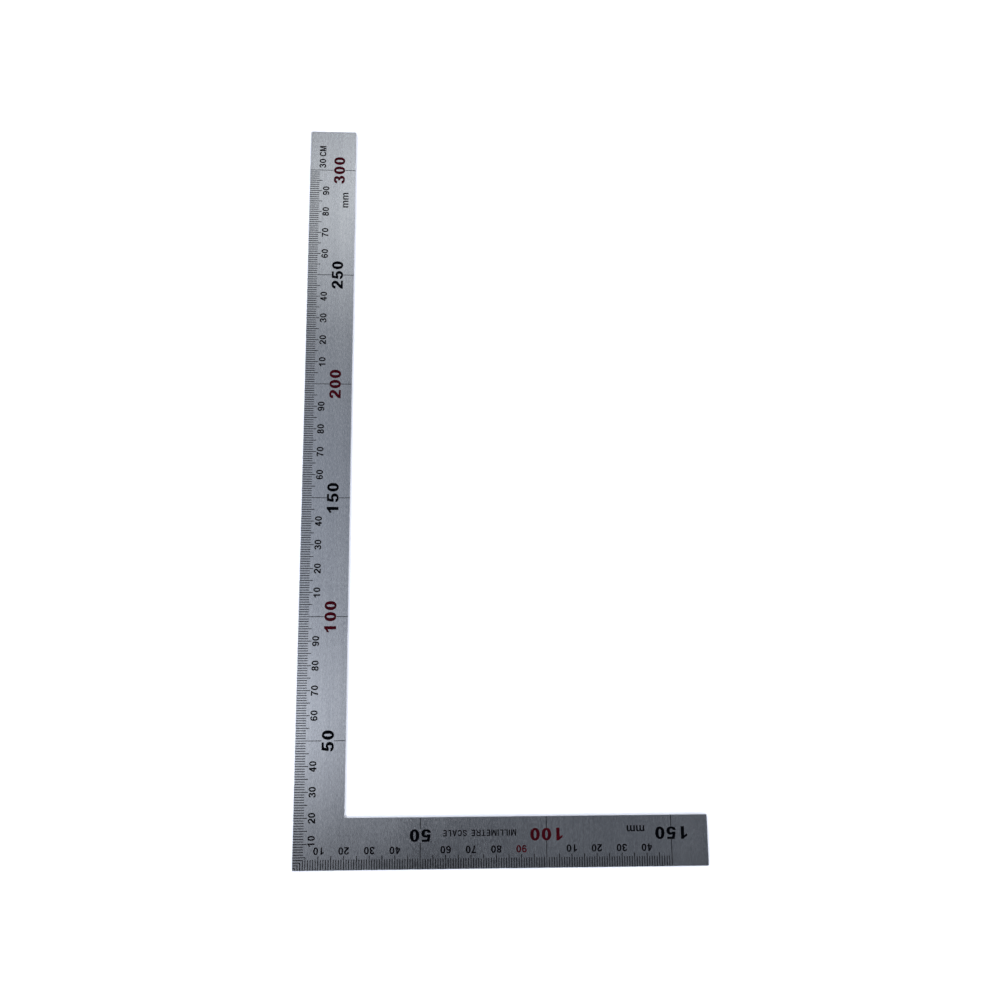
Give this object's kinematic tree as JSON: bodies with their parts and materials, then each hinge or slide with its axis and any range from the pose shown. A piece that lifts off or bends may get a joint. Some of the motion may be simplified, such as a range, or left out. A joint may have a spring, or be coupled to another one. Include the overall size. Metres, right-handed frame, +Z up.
{
  "type": "steel square ruler",
  "caption": "Flat L-shaped steel square with a millimetre scale etched along the outer edge of each leg, for marking out and squaring cuts.",
  "frame": {"origin": "outer corner of the square on its bottom face, where both scales read zero", "axes": "+X along the short leg, +Y along the long leg, +Z up out of the graduated face; the square lies flat"},
  "size_m": [0.1647, 0.3188, 0.0012],
  "materials": {
    "brushed_stainless": "stainless sheet, satin brushed along the long leg",
    "black_enamel": "black enamel filled into the etched marks, satin",
    "red_enamel": "dark crimson enamel filled into the etched marks, satin"
  },
  "bodies": {
    "root": {"steel_square": "brushed_stainless", "long_50_outer_line": "black_enamel", "long_50_inner_line": "black_enamel", "long_50_digit_1": "black_enamel", "long_50_digit_2": "black_enamel", "long_100_outer_line": "black_enamel", "long_100_inner_line": "black_enamel", "long_100_digit_1": "red_enamel", "long_100_digit_2": "red_enamel", "long_100_digit_3": "red_enamel", "long_150_outer_line": "black_enamel", "long_150_inner_line": "black_enamel", "long_150_digit_1": "black_enamel", "long_150_digit_2": "black_enamel", "long_150_digit_3": "black_enamel", "long_200_outer_line": "black_enamel", "long_200_inner_line": "black_enamel", "long_200_digit_1": "red_enamel", "long_200_digit_2": "red_enamel", "long_200_digit_3": "red_enamel", "long_250_outer_line": "black_enamel", "long_250_inner_line": "black_enamel", "long_250_digit_1": "black_enamel", "long_250_digit_2": "black_enamel", "long_250_digit_3": "black_enamel", "long_300_outer_line": "black_enamel", "long_300_inner_line": "black_enamel", "long_300_digit_1": "red_enamel", "long_300_digit_2": "red_enamel", "long_300_digit_3": "red_enamel", "short_50_outer_line": "black_enamel", "short_50_inner_line": "black_enamel", "short_50_digit_1": "black_enamel", "short_50_digit_2": "black_enamel", "short_100_outer_line": "black_enamel", "short_100_inner_line": "black_enamel", "short_100_digit_1": "red_enamel", "short_100_digit_2": "red_enamel", "short_100_digit_3": "red_enamel", "short_150_outer_line": "black_enamel", "short_150_inner_line": "black_enamel", "short_150_digit_1": "black_enamel", "short_150_digit_2": "black_enamel", "short_150_digit_3": "black_enamel"}
  },
  "joints": []
}
